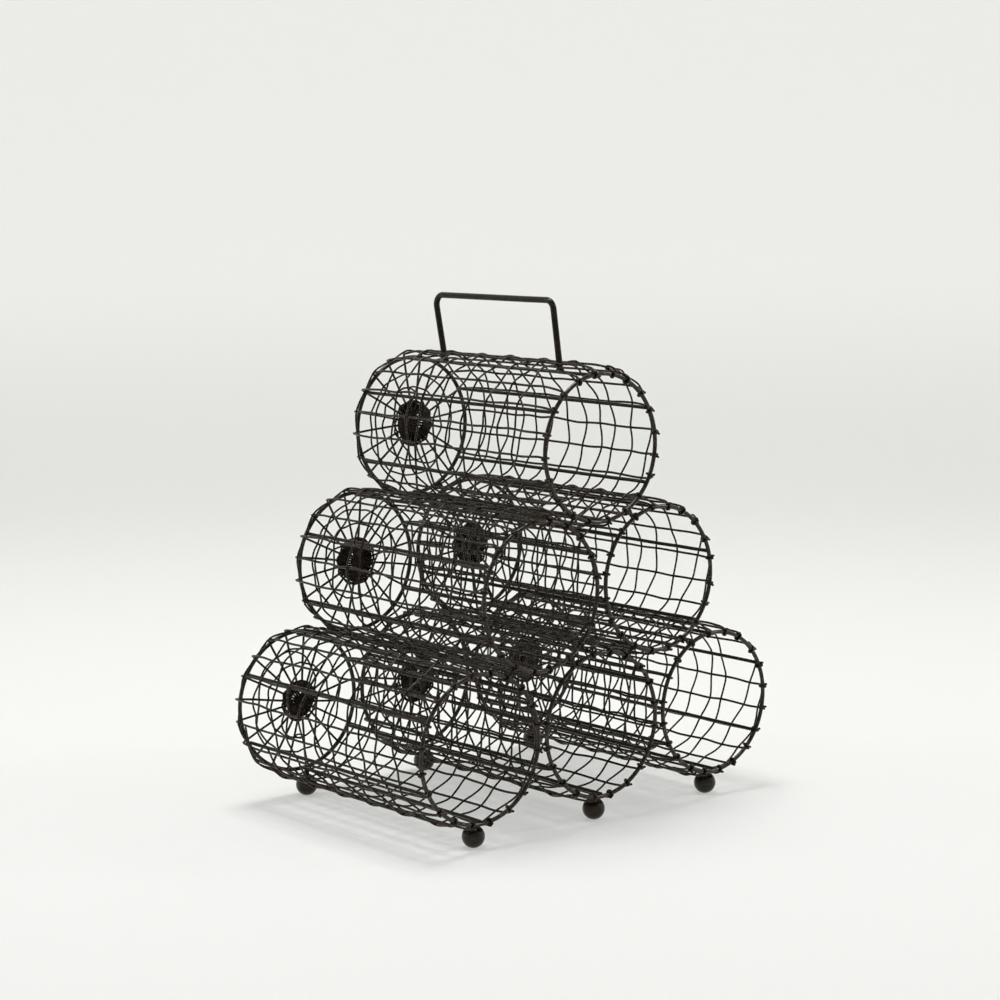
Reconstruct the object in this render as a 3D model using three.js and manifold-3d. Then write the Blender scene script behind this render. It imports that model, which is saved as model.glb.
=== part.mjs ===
// A holder for six bottles: woven wire cages stacked three, two and one, on ball feet, with a handle.
// Millimetres, +Z up. The mouths of the cages face -Y. The origin is on the floor, under the middle.

import * as THREE from "three";
import { mergeVertices } from "three/addons/utils/BufferGeometryUtils.js";
import Module from "manifold-3d";

const wasm = await Module();
wasm.setup();

// Sizes of a cage
const ringRadius = 51.5; // centreline of the front and rear rings
const ringWire = 2.8; // diameter of the ring wire
const cageLength = 210; // front ring to rear ring, between centrelines
const rodWire = 2.3; // diameter of the straight rods between the rings
const rodCount = 6;
const thinWire = 1.2; // diameter of the woven wire
const warpCount = 20; // lengthwise wires round a cage
const warpTail = 3; // how far a lengthwise wire stands out past the front ring
const seat = 0.3; // clearance between pieces that touch

// Sizes of the woven wire round a cage
const foldInset = 8; // the fold and the ends of the weft keep this far from the rings
const foldWidth = 3; // between the two halves of the weft where it is folded
const foldReach = 3.2; // how far the fold stands out beside its warp
const foldWarp = 1; // the warp that the weft is folded round, counted up from the right
const weftCrossings = 113; // warps that each half of the weft passes
const sleeveBulge = 3; // how far the weave stands out where no neighbour holds it in
const sleeveFlare = 12; // behind the front ring, where the weave has its full width

// Sizes of the rear web
const hubRadius = 6.5; // the knot where the lengthwise wires cross
const hubWindingRadius = 15.5; // outside of the close turns round the hub
const hubTurns = 3;
const hubStepsPerTurn = 8;
const innerHoopRadius = 27.8;
const outerHoopRadius = 38.6;
const hoopRampWarps = 4; // spokes that the web wire passes while it moves out to its next hoop

// Sizes of the stack
const cageGap = 0.6; // clearance between neighbours in a row
const rowGap = 0.8; // clearance between a cage and those that it rests on
const weldWire = 2.4; // diameter of the weld between two rings
const middleRightTurn = -13; // degrees; this cage's rods sit turned

// Sizes of the feet
const ballRadius = 8;
const ballFlat = 2; // radius of the worn flat that stands on the floor
const ballDrop = 10.3; // centre of a ball under the lowest point of the ring's centreline
const neckRadius = 2; // the weld between a ball and its rod
const footInset = 9; // from a ring to the foot beside it

// Sizes of the handle
const handleWire = 4;
const handleRise = 49.2; // centreline of the grip above the rod that the handle is welded to
const handleLean = 7.6; // the front end of the grip stands this far behind the foot of its leg
const gripSpread = 3.4; // the grip is this much longer than its feet are apart
const legShift = 2.7; // the legs stand this far in front of the middle of their bays
const handleBend = 9; // bend radius at the corners
const frontLegBay = 1; // bays between turns of weft, counted from the front, that the legs pass through
const rearLegBay = 8;

// Fineness of the faceted wires
const ringSteps = 24;
const ringSides = 5;
const rodSides = 6;
const warpSides = 3;
const weftSides = 3;
const hubSides = 10;
const weldSides = 4;
const handleSides = 8;
const bendSteps = 4;
const ballSteps = 9;
const ballRows = 5;
const facetSwell = 1.25; // corner radius of a faceted thin wire over its true radius
const mergeReach = 1e-4;

// Places that follow from the sizes
const fullTurn = 2 * Math.PI;
const ringOuter = ringRadius + ringWire / 2;
const warpStep = fullTurn / warpCount;
const warpCircle = ringOuter + seat + thinWire / 2;
const weave = thinWire + seat; // how far the weft stands off the middle of a warp
const thinCorner = (facetSwell * thinWire) / 2;
const sleeveOuter = warpCircle + weave + thinCorner * Math.cos(Math.PI / weftSides);
const rodCircle = warpCircle - weave - thinCorner - seat - rodWire / 2;
const rodOuter = rodCircle + rodWire / 2;
const tailEnd = -ringWire / 2 - warpTail;
const webPlane = cageLength + ringWire / 2 + seat + thinWire / 2;
const halfPitch = sleeveOuter * Math.cos(warpStep / 2) + cageGap / 2;
const rowReach = 2 * sleeveOuter + rowGap;
const rowHeight = Math.sqrt(rowReach ** 2 - halfPitch ** 2);
const ballCentre = Math.sqrt(ballRadius ** 2 - ballFlat ** 2);
const bottomAxis = ballCentre + ballDrop + ringRadius;

// Turns of weft, counted from the fold: the half that lags starts slowly and the half that leads ends slowly
const weftTurns = weftCrossings / warpCount;
const weftSpan = cageLength - 2 * foldInset;
const weftPitch = (weftSpan - 2 * foldWidth) / (2 * weftTurns - 1);
const foldShare = foldWidth / weftPitch;
const foldAngle = (foldWarp + 1 / 2) * warpStep;

// Materials
const wrought = { roughness: 0.5, metalness: 0.75 };
const frameIron = new THREE.MeshStandardMaterial({ color: 0x2b2721, ...wrought });
const wovenIron = new THREE.MeshStandardMaterial({ color: 0x332e27, ...wrought });
const weldIron = new THREE.MeshStandardMaterial({ color: 0x24211d, ...wrought });
const footBlack = new THREE.MeshStandardMaterial({ color: 0x1b1917, roughness: 0.6, metalness: 0.4 });

// A point at a radius and an angle round a cage's axis, the angle counted from +X towards +Z
function around(radius, angle, y) {
  return new THREE.Vector3(radius * Math.cos(angle), y, radius * Math.sin(angle));
}

// A closed tube through a row of places, each a point with the direction that one flat of the tube faces
function tube(path, radius, sides) {
  const positions = [];
  const index = [];
  path.forEach(({ point, out }, i) => {
    const before = path[Math.max(i - 1, 0)].point;
    const after = path[Math.min(i + 1, path.length - 1)].point;
    const along = after.clone().sub(before).normalize();
    const side = along.clone().cross(out).normalize();
    const lift = side.clone().cross(along);
    for (let corner = 0; corner < sides; corner += 1) {
      const angle = (fullTurn * (corner + 1 / 2)) / sides;
      const spot = point.clone();
      spot.addScaledVector(lift, radius * Math.cos(angle));
      spot.addScaledVector(side, radius * Math.sin(angle));
      positions.push(spot.x, spot.y, spot.z);
    }
  });
  const lastRing = (path.length - 1) * sides;
  for (let ring = 0; ring < lastRing; ring += sides) {
    for (let corner = 0; corner < sides; corner += 1) {
      const here = ring + corner;
      const beside = ring + ((corner + 1) % sides);
      index.push(here, beside, beside + sides, here, beside + sides, here + sides);
    }
  }
  for (let corner = 1; corner < sides - 1; corner += 1) {
    index.push(0, corner + 1, corner, lastRing, lastRing + corner, lastRing + corner + 1);
  }
  const geometry = new THREE.BufferGeometry();
  geometry.setAttribute("position", new THREE.Float32BufferAttribute(positions, 3));
  geometry.setIndex(index);
  return geometry;
}

// Solids joined into one piece
function joined(geometries) {
  const solids = geometries.map((geometry) => {
    const bare = geometry.clone();
    bare.deleteAttribute("normal");
    bare.deleteAttribute("uv");
    const merged = mergeVertices(bare, mergeReach);
    const vertProperties = Float32Array.from(merged.attributes.position.array);
    const triVerts = Uint32Array.from(merged.index.array);
    return new wasm.Manifold(new wasm.Mesh({ numProp: 3, vertProperties, triVerts }));
  });
  const mesh = solids.reduce((whole, solid) => whole.add(solid)).getMesh();
  const geometry = new THREE.BufferGeometry();
  geometry.setAttribute("position", new THREE.BufferAttribute(mesh.vertProperties, 3));
  geometry.setIndex(new THREE.BufferAttribute(mesh.triVerts, 1));
  return geometry;
}

// Least clear gap of a wound wire to itself, between places further apart along the wire than the given reach
function leastGap(path, radius, reach) {
  const samples = [];
  let travelled = 0;
  path.slice(1).forEach(({ point }, i) => {
    const from = path[i].point;
    const length = from.distanceTo(point);
    const pieces = Math.ceil(length / (2 * radius));
    for (let piece = 0; piece < pieces; piece += 1) {
      const share = piece / pieces;
      samples.push({ spot: from.clone().lerp(point, share), at: travelled + share * length });
    }
    travelled += length;
  });
  let least = Infinity;
  samples.forEach((a, i) => {
    for (let j = i + 1; j < samples.length; j += 1) {
      const b = samples[j];
      if (b.at - a.at > reach) {
        least = Math.min(least, a.spot.distanceTo(b.spot));
      }
    }
  });
  return least - 2 * radius;
}

// A ring of the cage, round the Y axis
function ringGeometry() {
  const ring = new THREE.TorusGeometry(ringRadius, ringWire / 2, ringSides, ringSteps);
  return ring.rotateX(Math.PI / 2);
}

// The rear ring with its straight rods, which end just behind the front ring
function rearFrameGeometry() {
  const rodStart = ringWire / 2 + seat;
  const rodLength = cageLength - rodStart;
  const pieces = [ringGeometry().translate(0, cageLength, 0)];
  for (let rod = 0; rod < rodCount; rod += 1) {
    const place = around(rodCircle, (fullTurn * (rod + 1 / 2)) / rodCount, rodStart + rodLength / 2);
    const cylinder = new THREE.CylinderGeometry(rodWire / 2, rodWire / 2, rodLength, rodSides);
    pieces.push(cylinder.translate(place.x, place.y, place.z));
  }
  return joined(pieces);
}

// Radius of the weave: on the rings beside a neighbour and at the mouth, and wider elsewhere
function sleeveRadius(angle, y, contacts) {
  const apart = contacts.map((contact) => Math.acos(Math.cos(angle - contact)));
  const freedom = THREE.MathUtils.smoothstep(Math.min(...apart), warpStep / 2, (3 * warpStep) / 2);
  const flare = THREE.MathUtils.clamp((y - tailEnd) / (sleeveFlare - tailEnd), 0, 1);
  return warpCircle + sleeveBulge * freedom * flare;
}

// The lengthwise wires: along the outside of the cage, over the rear ring and in to the hub where they cross
function warpGeometry(contacts) {
  const corner = Math.PI / 4;
  const inward = Math.PI / 2;
  const hub = new THREE.CylinderGeometry(hubRadius, hubRadius, 2 * thinWire, hubSides);
  const pieces = [hub.translate(0, webPlane, 0)];
  for (let warp = 0; warp < warpCount; warp += 1) {
    const angle = (warp + 1 / 2) * warpStep;
    const place = (radius, y, tilt) => ({
      point: around(radius, angle, y),
      out: around(Math.cos(tilt), angle, Math.sin(tilt)),
    });
    const wide = sleeveRadius(angle, cageLength, contacts);
    const wire = [
      place(warpCircle, tailEnd, 0),
      place(wide, sleeveFlare, 0),
      place(wide, webPlane, corner),
      place(hubRadius - thinWire, webPlane, inward),
    ];
    pieces.push(tube(wire, thinCorner, warpSides));
  }
  return joined(pieces);
}

// Distance from the front ring to a half of the weft, after a number of turns from the fold
function weftStation(turns, leads) {
  const slowStart = Math.min(turns, 1);
  const slowEnd = Math.max(turns - (weftTurns - 1), 0);
  const steady = 2 * turns + foldShare;
  const lag = foldShare + (1 - foldShare) * slowStart;
  const brake = (1 - foldShare) * slowEnd;
  return foldInset + weftPitch * (leads ? steady - brake : steady - lag);
}

// The weft: one wire folded round a warp near the front, its two halves chasing each other to the rear.
// They pass outside and inside the warps in turn, and each goes outside where the other goes inside.
function weftPath(contacts) {
  const half = (leads) => {
    const places = [];
    for (let crossing = 0; crossing <= weftCrossings; crossing += 1) {
      const outside = (crossing % 2 === 0) !== leads;
      const angle = foldAngle + crossing * warpStep;
      const y = weftStation(crossing / warpCount, leads);
      const radius = sleeveRadius(angle, y, contacts) + (outside ? weave : -weave);
      places.push({ point: around(radius, angle, y), out: around(1, angle, 0) });
    }
    return places;
  };
  const bendAngle = foldAngle - foldReach / warpCircle;
  const bendStation = foldInset + foldWidth / 2;
  const bend = {
    point: around(sleeveRadius(bendAngle, bendStation, contacts), bendAngle, bendStation),
    out: around(1, bendAngle, 0),
  };
  return [...half(true).reverse(), bend, ...half(false)];
}

// The rear web: close turns behind the spokes at the hub, then two hoops that weave through the spokes
function webPath() {
  const behind = new THREE.Vector3(0, 1, 0);
  const places = [];
  const hubSteps = hubTurns * hubStepsPerTurn;
  const hubInner = hubRadius + thinWire;
  const hubOuter = hubWindingRadius - thinWire / 2;
  for (let step = 0; step < hubSteps; step += 1) {
    const angle = warpStep / 2 + (fullTurn * step) / hubStepsPerTurn;
    const radius = THREE.MathUtils.lerp(hubInner, hubOuter, step / hubSteps);
    places.push({ point: around(radius, angle, webPlane + weave), out: behind });
  }
  const hoops = [hubOuter, innerHoopRadius, outerHoopRadius];
  const crossings = (hoops.length - 1) * warpCount;
  for (let crossing = 0; crossing <= crossings; crossing += 1) {
    const hoop = Math.min(Math.floor(crossing / warpCount), hoops.length - 2);
    const ramp = Math.min((crossing - hoop * warpCount) / hoopRampWarps, 1);
    const angle = warpStep / 2 + crossing * warpStep;
    const radius = THREE.MathUtils.lerp(hoops[hoop], hoops[hoop + 1], ramp);
    const outside = (crossing + hoop) % 2 === 0;
    const y = webPlane + (outside ? weave : -weave);
    places.push({ point: around(radius, angle, y), out: behind });
  }
  return places;
}

// A ball foot on its short weld neck, standing on the floor at Z = 0
function footGeometry() {
  const neckTop = bottomAxis - rodOuter - seat;
  const low = Math.atan2(-ballCentre, ballFlat);
  const high = Math.acos(neckRadius / ballRadius);
  const outline = [new THREE.Vector2(0, 0)];
  for (let row = 0; row <= ballRows; row += 1) {
    const angle = THREE.MathUtils.lerp(low, high, row / ballRows);
    const height = ballCentre + ballRadius * Math.sin(angle);
    outline.push(new THREE.Vector2(ballRadius * Math.cos(angle), height));
  }
  outline.push(new THREE.Vector2(neckRadius, neckTop), new THREE.Vector2(0, neckTop));
  return new THREE.LatheGeometry(outline, ballSteps).rotateX(Math.PI / 2);
}

// Corners of a row of points turned into bends
function rounded(points, radius) {
  const path = [points[0]];
  for (let i = 1; i < points.length - 1; i += 1) {
    const back = points[i - 1].clone().sub(points[i]).normalize();
    const ahead = points[i + 1].clone().sub(points[i]).normalize();
    const reach = radius / Math.tan(back.angleTo(ahead) / 2);
    const from = points[i].clone().addScaledVector(back, reach);
    const to = points[i].clone().addScaledVector(ahead, reach);
    path.push(...new THREE.QuadraticBezierCurve3(from, points[i], to).getPoints(bendSteps));
  }
  path.push(points[points.length - 1]);
  return path;
}

// Middle of a bay between turns of weft, along the top and the bottom of a cage
function bayMiddle(bay) {
  const turnsToTop = (fullTurn / 4 - foldAngle) / fullTurn;
  return weftStation(turnsToTop, true) + (bay + 1 / 2) * weftPitch;
}

// The handle: a bent rod whose legs stand on the top rod of the top cage
function handleGeometry() {
  const slope = (handleLean + gripSpread) / handleRise;
  const foot = rodOuter + seat + (slope * handleWire) / 2;
  const grip = rodOuter + handleRise;
  const front = bayMiddle(frontLegBay) - legShift;
  const rear = bayMiddle(rearLegBay) - legShift;
  const corners = [
    new THREE.Vector3(0, front, foot),
    new THREE.Vector3(0, front + handleLean, grip),
    new THREE.Vector3(0, rear + handleLean + gripSpread, grip),
    new THREE.Vector3(0, rear, foot),
  ];
  const out = new THREE.Vector3(1, 0, 0);
  const path = rounded(corners, handleBend).map((point) => ({ point, out }));
  return tube(path, handleWire / 2, handleSides);
}

// A weld bridging the gap between two rings, from one cage axis towards the other
function weldGeometry(from, to) {
  const apart = to.clone().sub(from);
  const length = apart.length() - 2 * ringOuter - 2 * seat;
  const weld = new THREE.CylinderGeometry(weldWire / 2, weldWire / 2, length, weldSides);
  const turn = new THREE.Quaternion().setFromUnitVectors(new THREE.Vector3(0, 1, 0), apart.normalize());
  return weld.applyQuaternion(turn);
}

function addMesh(group, name, geometry, material) {
  const mesh = new THREE.Mesh(geometry, material);
  mesh.name = name;
  group.add(mesh);
  return mesh;
}

// Rows of cages from the floor up, each row from left to right
const rows = [["bottom_left", "bottom_centre", "bottom_right"], ["middle_left", "middle_right"], ["top"]];
const axes = rows.map((names, row) =>
  names.map((name, i) => {
    const x = (2 * i - (names.length - 1)) * halfPitch;
    return { name, axis: new THREE.Vector3(x, 0, bottomAxis + row * rowHeight) };
  }),
);

// Neighbours: along each row, and from each cage to the two that it rests on
const neighbours = axes.flatMap((cages, row) =>
  cages.flatMap((cage, i) => {
    const beside = cages[i + 1] ? [[cage, cages[i + 1]]] : [];
    const below = row > 0 ? [[axes[row - 1][i], cage], [axes[row - 1][i + 1], cage]] : [];
    return [...beside, ...below];
  }),
);

// Directions in which a cage's neighbours lie
function contactsOf(name) {
  return neighbours
    .filter((pair) => pair.some((cage) => cage.name === name))
    .map((pair) => (pair[0].name === name ? pair : [pair[1], pair[0]]))
    .map(([cage, other]) => Math.atan2(other.axis.z - cage.axis.z, other.axis.x - cage.axis.x));
}

// Shapes that every cage shares
const frontRing = ringGeometry();
const rearFrame = rearFrameGeometry();
const webPlaces = webPath();
const web = tube(webPlaces, thinCorner, weftSides);
const apartAlong = 2 * (foldReach + foldWidth);
console.log(`least gap of the web to itself ${leastGap(webPlaces, thinCorner, apartAlong).toFixed(2)} mm`);

const holder = new THREE.Group();
axes.flat().forEach(({ name, axis }) => {
  const cage = new THREE.Group();
  cage.position.copy(axis);
  const contacts = contactsOf(name);
  const weftPlaces = weftPath(contacts);
  const weft = tube(weftPlaces, thinCorner, weftSides);
  const weftGap = leastGap(weftPlaces, thinCorner, apartAlong);
  console.log(`least gap of the ${name} weft to itself ${weftGap.toFixed(2)} mm`);
  addMesh(cage, `${name}_front_ring`, frontRing, frameIron);
  const frame = addMesh(cage, `${name}_rear_frame`, rearFrame, frameIron);
  if (name === "middle_right") {
    frame.rotation.y = -THREE.MathUtils.degToRad(middleRightTurn);
  }
  addMesh(cage, `${name}_warp_wires`, warpGeometry(contacts), wovenIron);
  addMesh(cage, `${name}_weft_wire`, weft, wovenIron);
  addMesh(cage, `${name}_rear_web`, web, wovenIron);
  holder.add(cage);
});

// Welds between the rings of neighbours
const ends = { front: 0, rear: cageLength };
neighbours.forEach(([a, b]) => {
  Object.entries(ends).forEach(([end, y]) => {
    const name = `weld_${end}_${a.name}_to_${b.name}`;
    const weld = addMesh(holder, name, weldGeometry(a.axis, b.axis), weldIron);
    weld.position.copy(a.axis).lerp(b.axis, 1 / 2).setY(y);
  });
});

// Feet under the lowest rods of the bottom row, near both rings
const foot = footGeometry();
axes[0].forEach(({ name, axis }) => {
  addMesh(holder, `foot_front_${name}`, foot, footBlack).position.set(axis.x, footInset, 0);
  addMesh(holder, `foot_rear_${name}`, foot, footBlack).position.set(axis.x, cageLength - footInset, 0);
});

// The handle stands on the top cage
const topCage = axes[axes.length - 1][0];
addMesh(holder, "handle", handleGeometry(), frameIron).position.copy(topCage.axis);

// The origin lies on the floor, under the middle of the whole
const box = new THREE.Box3().setFromObject(holder);
const middle = box.getCenter(new THREE.Vector3());
holder.position.set(-middle.x, -middle.y, -box.min.z);

export default holder;
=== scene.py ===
import math
import random

import bpy
from mathutils import Matrix, Vector


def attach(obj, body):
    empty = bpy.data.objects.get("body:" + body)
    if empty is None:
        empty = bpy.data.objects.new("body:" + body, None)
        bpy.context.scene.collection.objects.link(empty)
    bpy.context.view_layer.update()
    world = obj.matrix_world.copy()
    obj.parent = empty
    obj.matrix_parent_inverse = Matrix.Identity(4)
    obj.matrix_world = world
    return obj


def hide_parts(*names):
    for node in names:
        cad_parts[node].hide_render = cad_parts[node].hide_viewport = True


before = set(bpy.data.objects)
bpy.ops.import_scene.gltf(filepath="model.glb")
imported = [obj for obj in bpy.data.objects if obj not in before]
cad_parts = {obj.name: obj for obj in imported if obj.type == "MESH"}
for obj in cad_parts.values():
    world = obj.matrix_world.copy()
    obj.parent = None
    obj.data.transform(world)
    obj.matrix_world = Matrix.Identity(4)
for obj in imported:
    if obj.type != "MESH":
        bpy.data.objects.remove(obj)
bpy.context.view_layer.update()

mm = 0.001
turn = 2 * math.pi
print("frame loaded", len(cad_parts), "nodes")


class Value:  # one socket of a node tree, so that sums of sockets read as sums
    def __init__(self, sheet, socket):
        self.sheet = sheet
        self.socket = socket

    def reckon(self, operation, first, second):
        return self.sheet.add("ShaderNodeMath", {"operation": operation}, [first, second])

    def __add__(self, other):
        return self.reckon("ADD", self, other)

    def __sub__(self, other):
        return self.reckon("SUBTRACT", self, other)

    def __rsub__(self, other):
        return self.reckon("SUBTRACT", other, self)

    def __mul__(self, other):
        return self.reckon("MULTIPLY", self, other)

    __radd__ = __add__
    __rmul__ = __mul__


class Sheet:  # a node tree while it is being written
    def __init__(self, tree):
        self.tree = tree

    def add(self, kind, settings=None, inputs=None, output=0):
        node = self.tree.nodes.new(kind)
        for key, setting in (settings or {}).items():
            setattr(node, key, setting)
        pairs = inputs.items() if isinstance(inputs, dict) else enumerate(inputs or [])
        for key, given in pairs:
            if isinstance(given, Value):
                self.tree.links.new(given.socket, node.inputs[key])
            else:
                node.inputs[key].default_value = given
        return Value(self, node.outputs[output]) if node.outputs else node

    def ramp(self, value, low, high, bottom=0.0, top=1.0):  # a smooth step from bottom to top
        return self.add("ShaderNodeMapRange", {"interpolation_type": "SMOOTHSTEP"}, {
            "Value": value, "From Min": low, "From Max": high, "To Min": bottom, "To Max": top})

    def blend(self, share, first, second):  # one colour that turns into another
        ends = [colour if isinstance(colour, Value) else (*colour, 1) for colour in (first, second)]
        return self.add("ShaderNodeMix", {"data_type": "RGBA"}, {0: share, 6: ends[0], 7: ends[1]}, output=2)


def bareSheet(block):  # for a material or a world
    block.use_nodes = True
    block.node_tree.nodes.clear()
    return Sheet(block.node_tree)


def linked(name, data):  # a new object in the scene
    thing = bpy.data.objects.new(name, data)
    bpy.context.scene.collection.objects.link(thing)
    return thing


# Sizes of the holder, in millimetres, as in the solids
holder = {
    "ringRadius": 51.5, "ringWire": 2.8, "rodCircle": 50.1, "rodCount": 6, "warpCount": 20,
    "cageLength": 210.0, "halfPitch": 55.289, "rowHeight": 97.574, "bottomAxis": 69.546, "frontPlane": -104.854,
    "legs": (42.7, 170.6),  # where the handle's legs pass through the weave
    "bulge": 2.0, "topBulge": 3.3, "rearBulge": 0.3, "flare": 7.0,  # how the weave stands out
    "touching": 2.3,  # ring radii within which another axis is a neighbour's
    "clearance": 0.02,
}
ringRadius = holder["ringRadius"]
ringHalf = holder["ringWire"] / 2
warpHalf = 0.86  # the lengthwise wires are a little thicker than the weft
cageLength = holder["cageLength"]
warpCount = holder["warpCount"]
warpStep = turn / warpCount
warpCircle = ringRadius + ringHalf + warpHalf + holder["clearance"]  # warps lie on the rings
cageRows = [["bottom_left", "bottom_centre", "bottom_right"], ["middle_left", "middle_right"], ["top"]]
cageAxes = {}
for row, names in enumerate(cageRows):
    for i, name in enumerate(names):
        x = (2 * i - len(names) + 1) * holder["halfPitch"]
        z = holder["bottomAxis"] + row * holder["rowHeight"]
        cageAxes[name] = Vector((x, holder["frontPlane"], z))


def around(radius, angle, y):  # round a cage's axis, from +X towards +Z
    return Vector((radius * math.cos(angle), y, radius * math.sin(angle)))


def eased(share):
    share = min(max(share, 0), 1)
    return share * share * (3 - 2 * share)


def sleeveOf(cage):  # how far a cage's weave stands out, and the directions in which its neighbours lie
    onTop = cage == "top"
    ways = [other - cageAxes[cage] for other in cageAxes.values()]
    near = [way for way in ways if 0 < way.length < holder["touching"] * ringRadius]
    return {"bulge": holder["topBulge" if onTop else "bulge"], "legs": holder["legs"] if onTop else (),
            "contacts": [math.atan2(way.z, way.x) for way in near]}


def sleeveRadius(angle, y, sleeve):  # the weave stands out where no neighbour holds it in
    apart = min(math.acos(math.cos(angle - contact)) for contact in sleeve["contacts"])
    rear = holder["rearBulge"] + (1 - holder["rearBulge"]) * eased((cageLength - y) / holder["flare"])
    ends = eased(y / holder["flare"]) * rear
    return warpCircle + sleeve["bulge"] * eased(apart / warpStep - 0.5) * ends


# Materials: dark brown lacquer over iron, thin where the wire was handled
finishes = {
    "wovenWire": {
        "dark": (0.0050, 0.0030, 0.0014), "brown": (0.0150, 0.0090, 0.0042), "worn": (0.12, 0.096, 0.072),
        "wear": 0.57, "smooth": 0.12, "rough": 0.26, "grain": 900.0, "pits": 0.12, "gloss": 0.27},
    "thickRod": {
        "dark": (0.0040, 0.0024, 0.0011), "brown": (0.0120, 0.0073, 0.0034), "worn": (0.09, 0.073, 0.055),
        "wear": 0.60, "smooth": 0.13, "rough": 0.27, "grain": 700.0, "pits": 0.12, "gloss": 0.23},
    "ringRod": {
        "dark": (0.0040, 0.0024, 0.0011), "brown": (0.0120, 0.0073, 0.0034), "worn": (0.12, 0.098, 0.075),
        "wear": 0.57, "smooth": 0.15, "rough": 0.29, "grain": 700.0, "pits": 0.12, "gloss": 0.40},
    "weldBead": {
        "dark": (0.007, 0.0055, 0.004), "brown": (0.022, 0.0172, 0.012), "worn": (0.13, 0.112, 0.09),
        "wear": 0.60, "smooth": 0.40, "rough": 0.70, "grain": 1300.0, "pits": 0.6, "gloss": 0.22},
    "ballFoot": {
        "dark": (0.0045, 0.0036, 0.0026), "brown": (0.012, 0.0096, 0.007), "worn": (0.05, 0.043, 0.034),
        "wear": 0.66, "smooth": 0.14, "rough": 0.24, "grain": 800.0, "pits": 0.12, "gloss": 0.36},
}
lacquer = {
    "cloudScale": 95.0, "patchScale": 310.0, "patchRoughness": 0.6,
    "cloudInThin": 0.55, "patchInThin": 0.45, "thin": (0.38, 0.66),
    "patchInWear": 0.6, "grainInWear": 0.4, "wearSpan": (-0.05, 0.08),
    "patchInDull": 0.7, "grainInDull": 0.6, "dullStart": -0.15,  # shares of the span from smooth to rough
    "patchInRelief": 0.5, "pitDepth": 0.00012,
    "bareMetal": 0.7, "tint": (1.0, 0.87, 0.69, 1), "coat": 0.03, "coatRoughness": 0.3,
}


def ironFinish(name, look):
    material = bpy.data.materials.new(name)
    sheet = bareSheet(material)
    place = sheet.add("ShaderNodeTexCoord", output="Object")

    def mottle(scale, detail, roughness=0.5):
        return sheet.add("ShaderNodeTexNoise", inputs={
            "Vector": place, "Scale": scale, "Detail": detail, "Roughness": roughness})

    cloud = mottle(lacquer["cloudScale"], 3.0)
    patch = mottle(lacquer["patchScale"], 4.0, lacquer["patchRoughness"])
    grain = mottle(look["grain"], 3.0)
    thin = sheet.ramp(cloud * lacquer["cloudInThin"] + patch * lacquer["patchInThin"], *lacquer["thin"])
    low, high = (look["wear"] + step for step in lacquer["wearSpan"])
    rubbed = sheet.ramp(patch * lacquer["patchInWear"] + grain * lacquer["grainInWear"], low, high)
    colour = sheet.blend(rubbed, sheet.blend(thin, look["dark"], look["brown"]), look["worn"])
    span = look["rough"] - look["smooth"]
    dull = patch * (lacquer["patchInDull"] * span) + grain * (lacquer["grainInDull"] * span)
    dull = dull + (look["smooth"] + lacquer["dullStart"] * span)
    relief = sheet.add("ShaderNodeBump", inputs={
        "Strength": look["pits"], "Distance": lacquer["pitDepth"],
        "Height": patch * lacquer["patchInRelief"] + grain})
    shader = sheet.add("ShaderNodeBsdfPrincipled", inputs={
        "Base Color": colour, "Roughness": dull, "Metallic": rubbed * lacquer["bareMetal"],
        "Specular IOR Level": look["gloss"], "Specular Tint": lacquer["tint"],
        "Coat Weight": (1 - rubbed) * lacquer["coat"], "Coat Roughness": lacquer["coatRoughness"],
        "Normal": relief})
    sheet.add("ShaderNodeOutputMaterial", inputs={"Surface": shader})
    return material


materials = {name: ironFinish(name, look) for name, look in finishes.items()}
print("finishes made", ", ".join(materials))


# Trees that sweep the wires and lay the welds
handLook = {"bendScale": 45.0, "bendDetail": 1.0, "rippleScale": 420.0, "rippleDetail": 2.0, "lumpDetail": 3}


def newTree(name, sockets):  # a geometry tree with the named inputs, as a sheet and its inputs
    tree = bpy.data.node_groups.new(name, "GeometryNodeTree")
    tree.is_modifier = True
    tree.interface.new_socket("Geometry", in_out="INPUT", socket_type="NodeSocketGeometry")
    for label, kind in sockets.items():
        tree.interface.new_socket(label, in_out="INPUT", socket_type=kind)
    tree.interface.new_socket("Geometry", in_out="OUTPUT", socket_type="NodeSocketGeometry")
    sheet = Sheet(tree)
    entry = tree.nodes.new("NodeGroupInput")
    return sheet, {socket.name: Value(sheet, socket) for socket in entry.outputs if socket.name}


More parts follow.
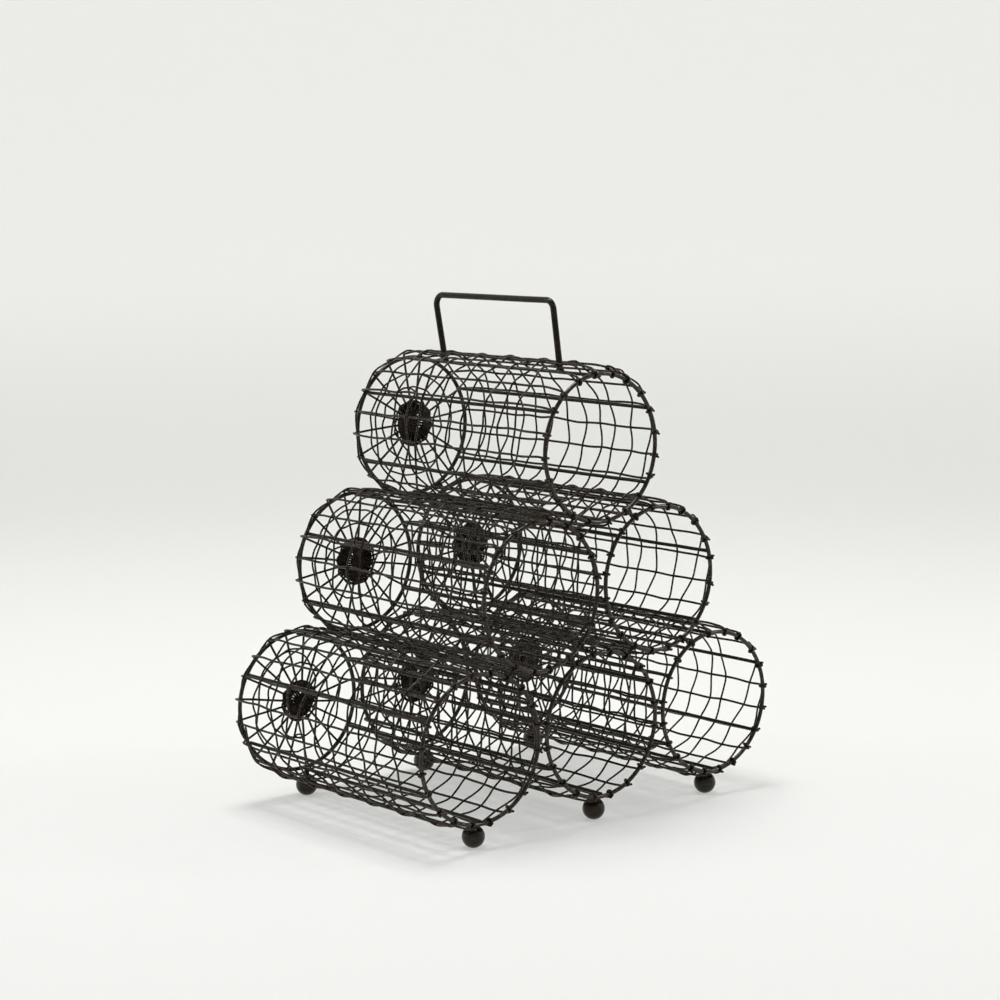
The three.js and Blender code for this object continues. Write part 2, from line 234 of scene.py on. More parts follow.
def wireTree():  # round wire swept along every row of points, with a little unevenness from the hand
    sheet, given = newTree("wireSweep", {
        "Wire Radius": "NodeSocketFloat", "Sides": "NodeSocketInt", "Steps": "NodeSocketInt",
        "Unevenness": "NodeSocketFloat", "Seed": "NodeSocketFloat", "Finish": "NodeSocketMaterial"})
    rows = sheet.add("GeometryNodeMeshToCurve", inputs={"Mesh": given["Geometry"]})
    smooth = sheet.add("GeometryNodeCurveSplineType", {"spline_type": "CATMULL_ROM"}, {"Curve": rows})
    fine = sheet.add("GeometryNodeSetSplineResolution", inputs={
        "Geometry": smooth, "Resolution": given["Steps"]})
    noise = sheet.add("ShaderNodeTexNoise", {"noise_dimensions": "4D"}, {
        "Vector": sheet.add("GeometryNodeInputPosition"), "W": given["Seed"],
        "Scale": handLook["bendScale"], "Detail": handLook["bendDetail"]}, output="Color")
    centred = sheet.add("ShaderNodeVectorMath", {"operation": "SUBTRACT"}, [noise, (0.5, 0.5, 0.5)])
    push = sheet.add("ShaderNodeVectorMath", {"operation": "SCALE"}, {
        "Vector": centred, "Scale": given["Unevenness"]})
    bent = sheet.add("GeometryNodeSetPosition", inputs={"Geometry": fine, "Offset": push})
    section = sheet.add("GeometryNodeCurvePrimitiveCircle", inputs={
        "Resolution": given["Sides"], "Radius": given["Wire Radius"]})
    swept = sheet.add("GeometryNodeCurveToMesh", inputs={
        "Curve": bent, "Profile Curve": section, "Fill Caps": True})
    shaded = sheet.add("GeometryNodeSetShadeSmooth", inputs={"Geometry": swept})
    real = sheet.add("GeometryNodeRealizeInstances", inputs={"Geometry": shaded})
    done = sheet.add("GeometryNodeSetMaterial", inputs={"Geometry": real, "Material": given["Finish"]})
    sheet.add("NodeGroupOutput", inputs={"Geometry": done})
    return sheet.tree


def beadTree():  # lumps of weld at the given points, stretched along their own direction
    sheet, given = newTree("weldBeads", {
        "Ripple": "NodeSocketFloat", "Seed": "NodeSocketInt", "Finish": "NodeSocketMaterial"})

    def stored(label, kind):
        return sheet.add("GeometryNodeInputNamedAttribute", {"data_type": kind}, {"Name": label})

    lump = sheet.add("GeometryNodeMeshIcoSphere", inputs={
        "Radius": 1.0, "Subdivisions": handLook["lumpDetail"]})
    girth = stored("halfWidth", "FLOAT")
    facing = sheet.add("FunctionNodeAlignRotationToVector", {"axis": "Z"}, {
        "Vector": stored("direction", "FLOAT_VECTOR")})
    size = sheet.add("ShaderNodeCombineXYZ", inputs=[girth, girth, stored("halfLength", "FLOAT")])
    lumps = sheet.add("GeometryNodeInstanceOnPoints", inputs={
        "Points": sheet.add("GeometryNodeMeshToPoints", inputs={"Mesh": given["Geometry"]}),
        "Instance": lump, "Rotation": facing, "Scale": size})
    real = sheet.add("GeometryNodeRealizeInstances", inputs={"Geometry": lumps})
    noise = sheet.add("ShaderNodeTexNoise", {"noise_dimensions": "4D"}, {
        "Vector": sheet.add("GeometryNodeInputPosition"), "W": given["Seed"],
        "Scale": handLook["rippleScale"], "Detail": handLook["rippleDetail"]})
    push = sheet.add("ShaderNodeVectorMath", {"operation": "SCALE"}, {
        "Vector": sheet.add("GeometryNodeInputNormal"), "Scale": (noise - 0.5) * given["Ripple"]})
    rough = sheet.add("GeometryNodeSetPosition", inputs={"Geometry": real, "Offset": push})
    shaded = sheet.add("GeometryNodeSetShadeSmooth", inputs={"Geometry": rough})
    done = sheet.add("GeometryNodeSetMaterial", inputs={"Geometry": shaded, "Material": given["Finish"]})
    sheet.add("NodeGroupOutput", inputs={"Geometry": done})
    return sheet.tree


wireSweep = wireTree()
weldBeads = beadTree()


def settle(piece, nodes):
    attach(piece, "root")
    if nodes:
        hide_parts(*nodes)


def grown(name, mesh, tree, settings, nodes):  # runs a tree on a mesh and keeps a plain mesh
    piece = linked(name, mesh)
    modifier = piece.modifiers.new(tree.name, "NODES")
    modifier.node_group = tree
    for socket in tree.interface.items_tree:
        if socket.in_out == "INPUT" and socket.name in settings:
            modifier[socket.identifier] = settings[socket.name]
    seen = piece.evaluated_get(bpy.context.evaluated_depsgraph_get())
    plain = bpy.data.meshes.new_from_object(seen)
    piece.modifiers.clear()
    piece.data = plain
    plain.name = name
    settle(piece, nodes)


def wirePiece(name, paths, axis, wire, seed, nodes):  # wires of one kind, laid out round an axis
    points = []
    edges = []
    for path in paths:
        first = len(points)
        points += [(spot + axis) * mm for spot in path]
        edges += [(i, i + 1) for i in range(first, len(points) - 1)]
        if wire.get("closed"):
            edges.append((len(points) - 1, first))
    mesh = bpy.data.meshes.new(name)
    mesh.from_pydata(points, edges, [])
    settings = {
        "Wire Radius": wire["radius"] * mm, "Sides": wire["sides"], "Steps": wire["steps"],
        "Unevenness": wire["unevenness"] * mm, "Seed": seed, "Finish": materials[wire["finish"]]}
    grown(name, mesh, wireSweep, settings, nodes)


# Rings and rods
ringWire = {
    "radius": 1.5, "sides": 12, "steps": 3, "unevenness": 0.5, "finish": "ringRod", "slot": "iron_rod",
    "closed": True, "points": 60,
}
rodWire = {
    "radius": 1.3, "sides": 10, "steps": 3, "unevenness": 0.8, "finish": "thickRod", "slot": "iron_rod",
    "inset": 0.9, "runs": 14,
}
rodCount = holder["rodCount"]
rodSlips = {  # degrees by which rods stand off their even places
    "middle_right": [-13] * rodCount, "top": [0, 0, -3.4, -2, 0, -3], "bottom_right": [-2.5, 0, 0, 0, 0, -3],
}


def ringPath(y):
    count = ringWire["points"]
    return [around(ringRadius, turn * i / count, y) for i in range(count)]


def rodAngles(cage):
    slips = rodSlips.get(cage, [0] * rodCount)
    return [math.radians(360 / rodCount * (i + 0.5) + slip) for i, slip in enumerate(slips)]


def rodPath(angle):
    inset, runs = rodWire["inset"], rodWire["runs"]
    reach = cageLength - 2 * inset
    return [around(holder["rodCircle"], angle, inset + reach * i / runs) for i in range(runs + 1)]


# Lengthwise wires: ten strands that cross in two flat bundles at the hub and wrap round the front ring
warpLook = {
    "radius": warpHalf, "sides": 8, "steps": 3, "unevenness": 1.1, "finish": "wovenWire", "slot": "iron_wire",
    "bundleStep": 1.9, "bundleHalf": 6.2, "bundleSide": 2, "rimRise": 2.2, "hubSink": 0.3, "dishRadius": 10,
    "spokeRadii": (15.5, 23, 31, 39, 46), "spokeStray": 0.006,
    "rearLoop": (-0.1, 0.3), "rearTilts": (90, 68, 46, 24),
    "stations": 16, "frontStop": 4, "lift": 0.15, "sway": 0.35,
    "wrapGap": 0.03, "wrapStep": 1.65, "wrapPoints": 10,
    "tail": (0.4, 1.2), "tailRise": 0.15, "tailLift": (-0.5, 0.2), "tailShare": 0.6, "tailTurn": 1.2,
}
noShift = Vector((0, 0, 0))
hubShifts = {  # a web is seldom centred quite on its ring
    "top": Vector((0.4, 0, 2.4)), "bottom_left": Vector((1.8, 0, -0.8)),
}
hubSteps = {  # warp steps by which a hub is turned
    "bottom_left": 2, "bottom_centre": 1, "bottom_right": 3, "middle_left": 4, "middle_right": 2,
}
warpLeans = {  # degrees by which the warps on one side have slipped, and that side
    "top": (-6, 180), "bottom_right": (-5, 0),
}
rimPlane = cageLength + warpLook["rimRise"]
hubPlane = cageLength - warpLook["hubSink"]  # the web is drawn in a little at the hub


def webPoint(radius, angle, stand, shift):
    dish = warpLook["dishRadius"]
    depth = hubPlane + (rimPlane - hubPlane) * eased((radius - dish) / (ringRadius - dish))
    return around(radius, angle, depth + stand) + shift * (1 - radius / ringRadius)


def slipped(angle, lean):  # one side of a weave can have slipped round its rings
    slip, side = (math.radians(value) for value in lean)
    return angle + slip * (1 + math.cos(angle - side)) / 2


def warpLeg(angle, sleeve, lean, shift, dice):  # from the hub, over the rear ring and along the cage
    angle = slipped(angle, lean) + dice.gauss(0, warpLook["spokeStray"])
    wide = sleeveRadius(angle, cageLength, sleeve) - ringRadius
    deep = rimPlane - cageLength + dice.uniform(*warpLook["rearLoop"])
    path = [webPoint(radius, angle, 0, shift) for radius in warpLook["spokeRadii"]]
    for tilt in warpLook["rearTilts"]:
        bend = math.radians(tilt)
        path.append(around(ringRadius + wide * math.cos(bend), angle, cageLength + deep * math.sin(bend)))
    stations = warpLook["stations"]
    lift = warpLook["lift"]
    for i in range(1, stations):
        y = cageLength - (cageLength - warpLook["frontStop"]) * i / (stations - 1)
        radius = sleeveRadius(angle, y, sleeve) + dice.uniform(-lift, lift)
        path.append(around(radius, angle + dice.gauss(0, warpLook["sway"]) / warpCircle, y))
    wrap = ringHalf + warpHalf + warpLook["wrapGap"]
    side = dice.choice((-1, 1)) * warpLook["wrapStep"] / ringRadius
    count = warpLook["wrapPoints"]
    for i in range(count + 1):  # once round the ring, moving one wire's width sideways
        bend = turn * i / count
        radius = ringRadius + wrap * math.cos(bend)
        path.append(around(radius, angle + side * i / count, -wrap * math.sin(bend)))
    tail = dice.uniform(*warpLook["tail"])
    rise = warpCircle + warpLook["tailRise"]
    path.append(around(rise, angle + side, -warpLook["tailShare"] * (ringHalf + tail)))
    rise = warpCircle + dice.uniform(*warpLook["tailLift"])
    path.append(around(rise, angle + warpLook["tailTurn"] * side, -ringHalf - tail))
    return path


def warpPaths(heading, sleeve, lean, shift, dice):
    most = warpLook["bundleSide"]
    paths = []
    for layer, way in ((-warpHalf, heading), (warpHalf, heading + turn / 4)):
        ahead = Vector((math.cos(way), 0, math.sin(way)))
        aside = Vector((-math.sin(way), 0, math.cos(way)))
        depth = Vector((0, hubPlane + layer, 0))
        for strand in range(-most, most + 1):
            out = warpLeg(way + strand * warpStep, sleeve, lean, shift, dice)
            back = warpLeg(way + turn / 2 - strand * warpStep, sleeve, lean, shift, dice)
            beside = aside * (strand * warpLook["bundleStep"])
            across = [ahead * (side * warpLook["bundleHalf"]) + beside for side in (1, 0, -1)]
            paths.append(out[::-1] + [spot + shift + depth for spot in across] + back)
    return paths


# Weft: one wire folded round a warp beside the front ring, its halves chasing each other to the rear
weftLook = {
    "radius": 0.72, "sides": 7, "steps": 3, "unevenness": 1.5, "finish": "wovenWire", "slot": "iron_wire",
    "crossings": 113, "frontInset": 4.2, "rearInset": 13.2, "foldReach": 3.2, "stand": 1.35,
    "parting": 0.2, "linger": 0.45,  # turns in which the halves part, and in which one stays in front
    "brake": 0.88,  # how much the other slows at the rear
    "stray": 3.4, "strayStops": 3, "strayGrowth": 2, "leastStray": 0.1, "kink": 0.35,
    "legGap": 4.2, "legHigh": 0.95,  # the weft keeps clear of the handle's legs
    "rearDraw": 5.2, "rearDrawn": 184.0, "drawn": 18.0, "closingInset": 2.6, "closing": 0.5,
}
foldWarps = {
    "top": 4, "middle_right": 2, "bottom_right": 2, "bottom_left": 3, "bottom_centre": 5, "middle_left": 4,
}
lingers = {"top": 0.28}  # turns that the second half stays by the front ring, where they differ
weftTurns = weftLook["crossings"] / warpCount
weftPitch = (cageLength - weftLook["frontInset"] - weftLook["rearInset"]) / (2 * weftTurns)
strayTurns = int(weftTurns + 3)  # with the closing turn, and room to spare


def weftStation(turns, leads, linger):  # one half hurries to the rear, the other lingers in front
    steady = 2 * turns
    if leads:
        late = max(turns - (weftTurns - 1), 0)
        steady += eased(turns / weftLook["parting"]) - weftLook["brake"] * late
    else:
        steady *= eased(turns / linger)
    return weftLook["frontInset"] + weftPitch * steady


def besideLegs(angle, y, sleeve):
    for leg in sleeve["legs"]:
        if math.sin(angle) > weftLook["legHigh"] and abs(y - leg) < weftLook["legGap"]:
            y = leg + math.copysign(weftLook["legGap"], y - leg)
    return y


def weftHalf(leads, foldAngle, linger, sleeve, lean, dice):
    stops = weftLook["strayStops"]
    growth = weftLook["strayGrowth"]
    strays = [dice.uniform(-1, 1) for _ in range(stops * strayTurns)]
    lap = warpCount if leads else 0  # one half ends in a turn beside the rear ring
    path = []
    for half in range(2 * (weftLook["crossings"] + lap) + 1):
        crossing = half / 2
        turns = crossing / warpCount
        angle = slipped(foldAngle - crossing * warpStep, lean)
        outside = math.cos(math.pi * crossing) * (-1 if leads else 1)
        place = stops * turns
        stop = int(place)
        drift = strays[stop] + (strays[stop + 1] - strays[stop]) * eased(place % 1)
        ease = max(min(1, growth * turns, growth * (weftTurns - turns)), weftLook["leastStray"])
        stray = weftLook["stray"] * drift + dice.uniform(-1, 1) * weftLook["kink"]
        y = weftStation(min(turns, weftTurns), leads, linger) + ease * stray
        y += weftLook["rearDraw"] * eased((y - weftLook["rearDrawn"]) / weftLook["drawn"])
        if leads:  # its last turn lies close to the rear ring
            closed = eased((turns - weftTurns) / weftLook["closing"] + 0.5)
            y += (cageLength - weftLook["closingInset"] - y) * closed
        y = besideLegs(angle, y, sleeve)
        path.append(around(sleeveRadius(angle, y, sleeve) + weftLook["stand"] * outside, angle, y))
    return path


def weftPath(foldWarp, linger, sleeve, lean, dice):
    foldAngle = (foldWarp + 0.5) * warpStep
    tip = slipped(foldAngle, lean) + weftLook["foldReach"] / warpCircle
    fold = around(sleeveRadius(tip, weftLook["frontInset"], sleeve), tip, weftLook["frontInset"])
    leading = weftHalf(True, foldAngle, linger, sleeve, lean, dice)
    return leading[::-1] + [fold] + weftHalf(False, foldAngle, linger, sleeve, lean, dice)


# Rear web: close turns round the hub, in front of one bundle and behind the other, then two woven hoops
webLook = {
    "radius": 0.72, "sides": 7, "steps": 3, "unevenness": 0.55, "finish": "wovenWire", "slot": "iron_wire",
    "hubInner": 6.9, "hubStep": 1.28, "hubTurns": 7, "hubPoints": 24, "hubStand": (2.5, 1.6), "hubSwing": 1.7,
    "hubEnd": 5, "edgeStep": 1.7, "hoops": (27.8, 38.6), "hoopStand": 1.1, "ramp": (3, 5), "overrun": 3,
    "stray": 0.45, "curled": ("bottom_left",), "eye": (2.1, -1.8, 1.35), "eyeTurn": 1.15, "eyePoints": 10,
    "eyeStep": 0.1,
}
hubExtra = {"bottom_left": -68}  # half spokes by which a hub is wound further, or less far


def hubWinding(turns, heading, shift):
    count = webLook["hubPoints"]
    near, far = webLook["hubStand"]
    steps = int(count * turns)
    path = []
    for i in range(steps):
        angle = heading + turn / 8 + turn * i / count  # starts between the two bundles
        side = min(max(-webLook["hubSwing"] * math.cos(2 * (angle - heading)), -1), 1)
        radius = webLook["hubInner"] + webLook["hubStep"] * i / count
        path.append(webPoint(radius, angle, side * (near + (far - near) * i / steps), shift))
    return path


def curledEye(tip):  # the end of a wire, turned back in a small eye
    wide, deep, high = webLook["eye"]
    count = webLook["eyePoints"]
    path = []
    for i in range(1, count + 1):
        bend = turn * webLook["eyeTurn"] * i / count
        eye = Vector((wide * math.sin(bend), deep * math.sin(bend), high * (1 - math.cos(bend))))
        path.append(tip + eye - Vector((0, webLook["eyeStep"] * i, 0)))
    return path


def webStrand(index, cage, heading, lean, shift, dice):
    sign = 1 - 2 * index
    extra = hubExtra.get(cage, 0)
    turns = webLook["hubTurns"] + extra / (2 * warpCount)
    path = [] if index else hubWinding(turns, heading, shift)
    edge = webLook["hubInner"] + webLook["hubStep"] * turns
    first = webLook["hubEnd"] + extra + index * warpCount  # half spokes from the heading to the hub's end
    lap = 2 * warpCount
    ramp = 2 * webLook["ramp"][index]
    for i in range(2 * lap + ramp + webLook["overrun"]):
        angle = slipped(heading + warpStep / 2 * (first + i), lean)
        share = eased((i - lap) / ramp)
        radius = edge + webLook["edgeStep"] * min(i / lap, 1)
        radius += (webLook["hoops"][index] - radius) * share + dice.uniform(-1, 1) * webLook["stray"] * share
        stand = sign * webLook["hoopStand"] * math.cos(math.pi * (first + i) / 2)
        path.append(webPoint(radius, angle, stand, shift))
    if cage in webLook["curled"] and not index:
        path += curledEye(path[-1])
    return path


for number, (cage, axis) in enumerate(cageAxes.items()):
    seed = number + 1.0
    sleeve = sleeveOf(cage)
    shift = hubShifts.get(cage, noShift)
    heading = warpStep * (0.5 + hubSteps.get(cage, 0))
    lean = warpLeans.get(cage, (0, 0))
    wirePiece(f"{cage}_frontRing", [ringPath(0)], axis, ringWire, seed, [f"{cage}_front_ring"])
    wirePiece(f"{cage}_rearRing", [ringPath(cageLength)], axis, ringWire, seed + 0.2, [])
    rods = [rodPath(angle) for angle in rodAngles(cage)]
    wirePiece(f"{cage}_rods", rods, axis, rodWire, seed + 0.3, [f"{cage}_rear_frame"])
    warps = warpPaths(heading, sleeve, lean, shift, random.Random(f"{cage} warps"))
    wirePiece(f"{cage}_warps", warps, axis, warpLook, seed + 0.5, [f"{cage}_warp_wires"])
    linger = lingers.get(cage, weftLook["linger"])
    weft = weftPath(foldWarps[cage], linger, sleeve, lean, random.Random(f"{cage} weft"))
    wirePiece(f"{cage}_weft", [weft], axis, weftLook, seed + 0.7, [f"{cage}_weft_wire"])
    dice = random.Random(f"{cage} web")
    web = [webStrand(index, cage, heading, lean, shift, dice) for index in (0, 1)]
    wirePiece(f"{cage}_web", web, axis, webLook, seed + 0.9, [f"{cage}_rear_web"])
    print("cage woven", cage)


# Handle: one bent rod with its feet on the top rod of the top cage
handleLook = {
    "radius": 2.25, "sides": 20, "steps": 2, "unevenness": 0.2, "finish": "thickRod", "slot": "iron_rod",
    "seed": 9.1, "frontFoot": 42.1, "rearFoot": 169.8, "foot": 51.4, "lean": 7.6, "spread": 3.4,
    "grip": 99.95, "rearDrop": 0.6, "bend": 7.2, "bendSteps": 8, "runStep": 4,
}


def evenRun(start, end):
    count = max(round((end - start).length / handleLook["runStep"]), 1)
    return [start.lerp(end, i / count) for i in range(count)]


def bentPath(corners, radius):  # straight runs with round bends, in short even steps
    steps = handleLook["bendSteps"]
    path = []
    start = corners[0]
    for before, corner, after in zip(corners, corners[1:], corners[2:]):
        back = (before - corner).normalized()
        ahead = (after - corner).normalized()
        half = back.angle(ahead) / 2
        centre = corner + (back + ahead).normalized() * (radius / math.sin(half))
        arc = [corner + way * (radius / math.tan(half)) - centre for way in (back, ahead)]
        first, last = (spoke.normalized() for spoke in arc)
        bend = [centre + first.slerp(last, i / steps) * radius for i in range(steps + 1)]
        path += evenRun(start, bend[0]) + bend[:-1]
        start = bend[-1]
    return path + evenRun(start, corners[-1]) + [corners[-1]]


def handleCorners():
    front, rear, foot = (handleLook[key] for key in ("frontFoot", "rearFoot", "foot"))
    lean, grip = (handleLook[key] for key in ("lean", "grip"))
    rearGrip = Vector((0, rear + lean + handleLook["spread"], grip - handleLook["rearDrop"]))
    return [Vector((0, front, foot)), Vector((0, front + lean, grip)), rearGrip, Vector((0, rear, foot))]


topAxis = cageAxes["top"]
handlePath = bentPath(handleCorners(), handleLook["bend"])
wirePiece("carryHandle", [handlePath], topAxis, handleLook, handleLook["seed"], ["handle"])
print("handle bent")


# Ball feet, each on the neck of weld that holds it to its rod
footLook = {
    "radius": 8.0, "flat": 2.0, "flatShare": 0.6, "neck": 1.9, "fillet": 1.4, "inset": 9.0,
    "seat": 1.0, "rim": 0.3, "rimShare": 0.7, "segments": 40, "ballSteps": 22, "filletSteps": 5,
}


def footOutline():  # half of a foot's section, from the floor up
    radius, flat, neck, fillet = (footLook[key] for key in ("radius", "flat", "neck", "fillet"))
    centre = math.sqrt(radius ** 2 - flat ** 2)
    low = math.atan2(-centre, flat)
    high = math.acos((neck + fillet) / radius)
    outline = [(0, 0), (flat * footLook["flatShare"], 0)]
    steps = footLook["ballSteps"]
    for i in range(steps + 1):
        angle = low + (high - low) * i / steps
        outline.append((radius * math.cos(angle), centre + radius * math.sin(angle)))
    wide, rise = outline[-1]
    steps = footLook["filletSteps"]
    for i in range(1, steps + 1):
        bend = math.pi / 2 * i / steps
        outline.append((wide - fillet * math.sin(bend), rise + fillet * (1 - math.cos(bend))))
    top = holder["bottomAxis"] - holder["rodCircle"] - footLook["seat"]
    return outline + [(neck, top - footLook["rim"]), (neck * footLook["rimShare"], top), (0, top)]


def footMesh(name, place):
    count = footLook["segments"]
    points = []
    rings = []
    for radius, height in footOutline():
        first = len(points)
        spread = count if radius else 1
        middle = Vector((0, 0, height))
        points += [(place + around(radius, turn * i / count, 0).xzy + middle) * mm for i in range(spread)]
        rings.append([first + i % spread for i in range(count)])
    faces = []
    for lower, upper in zip(rings, rings[1:]):
        for i in range(count):
            j = (i + 1) % count
            corners = [lower[i], lower[j], upper[j], upper[i]]
            faces.append(list(dict.fromkeys(corners)))
    mesh = bpy.data.meshes.new(name)
    mesh.from_pydata(points, [], faces)
    mesh.shade_smooth()
    mesh.materials.append(materials["ballFoot"])
    return mesh


for cage in cageRows[0]:
    for end, y in (("front", footLook["inset"]), ("rear", cageLength - footLook["inset"])):
        name = f"{end}Foot_{cage}"
        place = Vector((cageAxes[cage].x, holder["frontPlane"] + y, 0))
        settle(linked(name, footMesh(name, place)), [f"foot_{end}_{cage}"])
print("feet turned")


# Welds: between the rings of neighbours, where rods meet rings, and at the feet of the handle
weldLook = {
    "ripple": 0.9, "seed": 4, "ringGirth": 1.15, "ringOverlap": 0.7,
    "rodReach": 1.7, "rodGirth": 1.35, "rodInset": 1.6, "rodOut": 0.35,
    "handleReach": 3.15, "handleGirth": 2.7, "handleRise": 0.2,
}
lengthwise = Vector((0, 1, 0))
beads = []  # place, direction, half length and half width of each
weldNodes = []
for row, names in enumerate(cageRows):
    for i, name in enumerate(names):
        pairs = [(name, names[i + 1])] if i + 1 < len(names) else []
        if row:
            pairs += [(cageRows[row - 1][i], name), (cageRows[row - 1][i + 1], name)]
        for lower, upper in pairs:
            apart = cageAxes[upper] - cageAxes[lower]
            middle = (cageAxes[upper] + cageAxes[lower]) / 2
            reach = apart.length / 2 - ringRadius - ringHalf + weldLook["ringOverlap"]
            for end, y in (("front", 0), ("rear", cageLength)):
                beads.append((middle + Vector((0, y, 0)), apart.normalized(), reach, weldLook["ringGirth"]))
                weldNodes.append(f"weld_{end}_{lower}_to_{upper}")
for cage, axis in cageAxes.items():
    for angle in rodAngles(cage):
        for y in (weldLook["rodInset"], cageLength - weldLook["rodInset"]):
            spot = axis + around(holder["rodCircle"] + weldLook["rodOut"], angle, y)
            beads.append((spot, lengthwise, weldLook["rodReach"], weldLook["rodGirth"]))
for y in (handleLook["frontFoot"], handleLook["rearFoot"]):
    spot = topAxis + Vector((0, y, handleLook["foot"] + weldLook["handleRise"]))
    beads.append((spot, lengthwise, weldLook["handleReach"], weldLook["handleGirth"]))
beadMesh = bpy.data.meshes.new("weldSpots")
beadMesh.from_pydata([spot * mm for spot, _, _, _ in beads], [], [])
for label, kind, values in (
        ("direction", "FLOAT_VECTOR", [value for _, way, _, _ in beads for value in way]),
        ("halfLength", "FLOAT", [reach * mm for _, _, reach, _ in beads]),
        ("halfWidth", "FLOAT", [girth * mm for _, _, _, girth in beads])):
    store = beadMesh.attributes.new(label, kind, "POINT")
    store.data.foreach_set("vector" if kind == "FLOAT_VECTOR" else "value", values)
beadSettings = {"Ripple": weldLook["ripple"] * mm, "Seed": weldLook["seed"], "Finish": materials["weldBead"]}
grown("weldSpots", beadMesh, weldBeads, beadSettings, weldNodes)
print("welds laid", len(beads))


# Camera where the photograph was taken from
cameraLook = {
    "place": (-1.16405, -1.371281, 0.464338), "azimuth": -40.252, "elevation": 7.793, "roll": -0.497,
    "lens": 90.189, "sensor": 36, "reach": 50,
}
azimuth, elevation, roll = (math.radians(cameraLook[key]) for key in ("azimuth", "elevation", "roll"))
flat = math.cos(elevation)
back = Vector((math.sin(azimuth) * flat, -math.cos(azimuth) * flat, math.sin(elevation)))
level = Vector((math.cos(azimuth), math.sin(azimuth), 0))
upright = back.cross(level)
right = level * math.cos(roll) + upright * math.sin(roll)
up = upright * math.cos(roll) - level * math.sin(roll)
camera = linked("camera", bpy.data.cameras.new("camera"))
camera.data.lens = cameraLook["lens"]
camera.data.sensor_width = cameraLook["sensor"]
camera.data.clip_end = cameraLook["reach"]
facing = Matrix((right, up, back)).transposed().to_4x4()
camera.matrix_world = Matrix.Translation(cameraLook["place"]) @ facing
bpy.context.scene.camera = camera
print("camera placed")


# Studio: a pale sweep, a large soft light above and two weaker ones
studioLook = {
    "floor": (0.95, 0.955, 0.93), "wall": (0.93, 0.935, 0.905), "front": (0.62, 0.622, 0.606),
    "wallFade": (-0.4, 2.0), "frontFade": (-0.7, -3.4),  # metres beyond the object, as the camera looks
    "floorGlow": 0.42, "wallGlow": 0.75, "glowRise": 0.3, "roughness": 0.7, "gloss": 0.1,
    "radius": 3.5, "bend": 1.1, "bendSteps": 16, "flatEdge": 0.2, "height": 3.0, "setBack": 0.9,
    "segments": 72,
    "room": (0.08, 0.08, 0.078), "ceiling": (0.2, 0.2, 0.197), "airFade": (-0.1, 0.9), "aim": (0, 0, 0.18),
}
lamps = {
    "softboxAbove": {"place": (0.0, 0.3, 2.2), "size": (0.95, 0.8), "watts": 33},
    "keyRight": {"place": (1.55, -1.1, 1.32), "size": (0.3, 0.3), "watts": 8},
    "fillLeft": {"place": (-1.4, 1.35, 1.35), "size": (0.35, 0.35), "watts": 4.5},
}
away = Vector((-back.x, -back.y, 0)).normalized()


def sweepMesh():  # a round floor that turns up into a wall on every side
    bend, radius, steps = (studioLook[key] for key in ("bend", "radius", "bendSteps"))
    outline = [(radius - bend - studioLook["flatEdge"], 0), (radius - bend, 0)]
    for i in range(1, steps + 1):
        angle = math.pi / 2 * i / steps
        outline.append((radius - bend + bend * math.sin(angle), bend * (1 - math.cos(angle))))
    outline.append((radius, studioLook["height"]))
    count = studioLook["segments"]
    centre = -away * studioLook["setBack"]
    points = []
    for reach, height in outline:
        rise = Vector((0, 0, height))
        points += [centre + around(reach, turn * i / count, 0).xzy + rise for i in range(count)]
    faces = [list(range(count))]
    for first in range(0, len(points) - count, count):
        for i in range(count):
            j = (i + 1) % count
            faces.append((first + i, first + count + i, first + count + j, first + j))
    mesh = bpy.data.meshes.new("studioSweep")
    mesh.from_pydata(points, [], faces)
    mesh.shade_smooth()
    return mesh


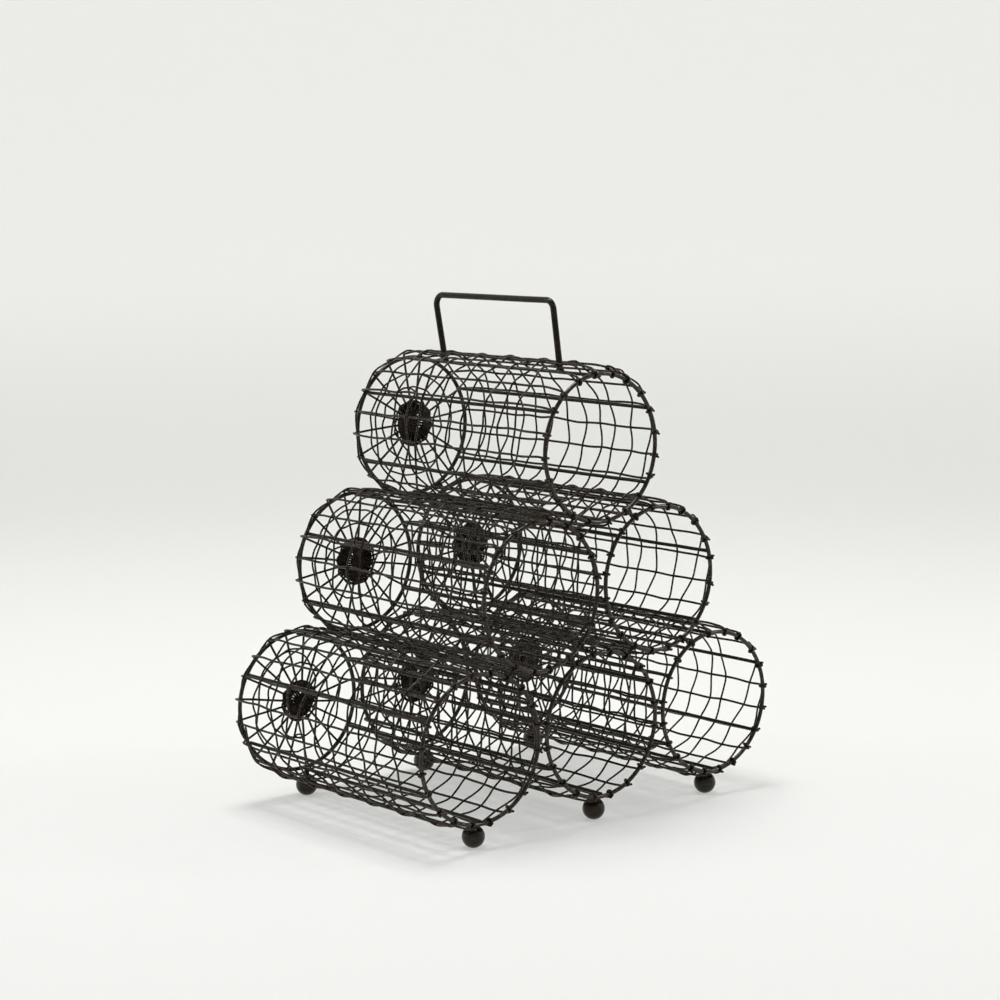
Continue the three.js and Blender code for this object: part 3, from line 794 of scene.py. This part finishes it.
def palePaper():
    paper = bpy.data.materials.new("palePaper")
    sheet = bareSheet(paper)
    place = sheet.add("ShaderNodeTexCoord", output="Object")
    depth = sheet.add("ShaderNodeVectorMath", {"operation": "DOT_PRODUCT"}, [place, tuple(away)],
                      output="Value")
    tone = sheet.blend(sheet.ramp(depth, *studioLook["wallFade"]), studioLook["floor"], studioLook["wall"])
    tone = sheet.blend(sheet.ramp(depth, *studioLook["frontFade"]), tone, studioLook["front"])
    plain = sheet.add("ShaderNodeBsdfPrincipled", inputs={
        "Base Color": tone, "Roughness": studioLook["roughness"], "Specular IOR Level": studioLook["gloss"]})
    glow = sheet.add("ShaderNodeEmission", inputs={"Color": tone, "Strength": 1.0})
    rays = ("Is Camera Ray", "Is Glossy Ray", "Is Transmission Ray")
    seen = sum(sheet.add("ShaderNodeLightPath", output=ray) for ray in rays)
    height = sheet.add("ShaderNodeSeparateXYZ", inputs=[place], output="Z")
    lit = sheet.ramp(height, 0.0, studioLook["glowRise"], studioLook["floorGlow"], studioLook["wallGlow"])
    shown = sheet.add("ShaderNodeMixShader", inputs=[seen * lit, plain, glow])
    sheet.add("ShaderNodeOutputMaterial", inputs={"Surface": shown})
    return paper


def studioAir():
    world = bpy.data.worlds.new("studioAir")
    sheet = bareSheet(world)
    facing = sheet.add("ShaderNodeTexCoord", output="Generated")
    height = sheet.add("ShaderNodeSeparateXYZ", inputs=[facing], output="Z")
    air = sheet.blend(sheet.ramp(height, *studioLook["airFade"]), studioLook["room"], studioLook["ceiling"])
    glow = sheet.add("ShaderNodeBackground", inputs={"Color": air, "Strength": 1.0})
    sheet.add("ShaderNodeOutputWorld", inputs={"Surface": glow})
    return world


sweep = linked("studioSweep", sweepMesh())
sweep.data.materials.append(palePaper())
for name, lamp in lamps.items():
    light = bpy.data.lights.new(name, "AREA")
    light.shape = "RECTANGLE"
    light.size, light.size_y = lamp["size"]
    light.energy = lamp["watts"]
    aim = Vector(studioLook["aim"]) - Vector(lamp["place"])
    turned = aim.to_track_quat("-Z", "Y").to_matrix().to_4x4()
    linked(name, light).matrix_world = Matrix.Translation(lamp["place"]) @ turned
bpy.context.scene.world = studioAir()
bpy.context.scene.view_settings.view_transform = "Standard"
print("studio lit")
